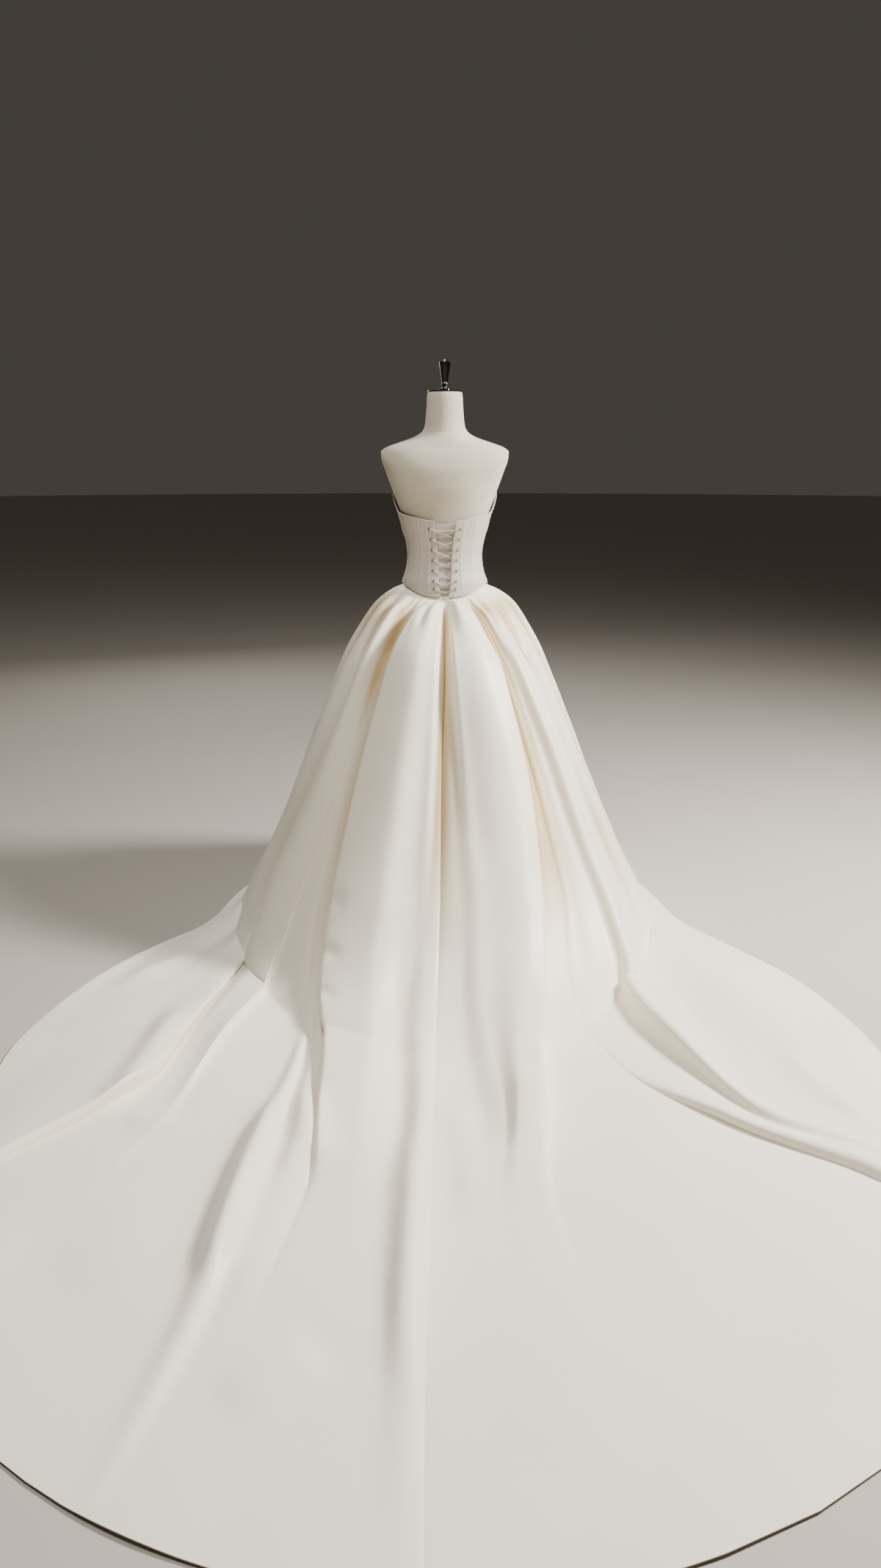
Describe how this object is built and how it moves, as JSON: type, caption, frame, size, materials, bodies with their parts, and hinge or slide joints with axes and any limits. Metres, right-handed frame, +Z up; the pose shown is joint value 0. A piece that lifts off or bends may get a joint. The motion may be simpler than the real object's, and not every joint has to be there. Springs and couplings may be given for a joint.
{
  "type": "wedding dress on dress form",
  "caption": "Strapless satin ball gown with a laced corset back and a long train spread on the floor, worn by a limbless dress form on a stand.",
  "frame": {"origin": "centre of the stand foot's underside, on the floor below the form's pole", "axes": "+Z up; +Y behind the wearer, along the train; +X to the wearer's left; the front faces -Y"},
  "size_m": [2.2001, 3.1704, 1.7139],
  "materials": {
    "ivory_satin": "heavy ivory satin with a soft sheen",
    "bodice_satin": "ivory satin, boned and interlined",
    "beaded_lace_satin": "satin under beaded corded lace",
    "eyelet_metal": "dulled metal rings",
    "lacing_cord": "round satin cord",
    "form_cloth": "taut cream jersey over a hard shell",
    "polished_chrome": "polished",
    "painted_steel": "black satin paint"
  },
  "bodies": {
    "root": {"skirt_front": "ivory_satin", "skirt_side_l": "ivory_satin", "skirt_side_r": "ivory_satin", "skirt_back_l": "ivory_satin", "skirt_back_r": "ivory_satin", "bodice_back_l": "bodice_satin", "bodice_back_r": "bodice_satin", "bodice_side_back_l": "bodice_satin", "bodice_side_back_r": "bodice_satin", "modesty_panel": "bodice_satin", "bodice_front": "beaded_lace_satin", "bodice_side_front_l": "beaded_lace_satin", "bodice_side_front_r": "beaded_lace_satin", "eyelet_l1": "eyelet_metal", "eyelet_l2": "eyelet_metal", "eyelet_l3": "eyelet_metal", "eyelet_l4": "eyelet_metal", "eyelet_l5": "eyelet_metal", "eyelet_l6": "eyelet_metal", "eyelet_l7": "eyelet_metal", "eyelet_l8": "eyelet_metal", "eyelet_r1": "eyelet_metal", "eyelet_r2": "eyelet_metal", "eyelet_r3": "eyelet_metal", "eyelet_r4": "eyelet_metal", "eyelet_r5": "eyelet_metal", "eyelet_r6": "eyelet_metal", "eyelet_r7": "eyelet_metal", "eyelet_r8": "eyelet_metal", "lace_a": "lacing_cord", "lace_b": "lacing_cord", "lace_knot": "lacing_cord", "lace_end_l": "lacing_cord", "lace_end_r": "lacing_cord", "form_torso": "form_cloth", "neck_cap": "polished_chrome", "finial_base": "polished_chrome", "finial": "polished_chrome", "stand_pole": "painted_steel", "stand_foot": "painted_steel"}
  },
  "joints": []
}
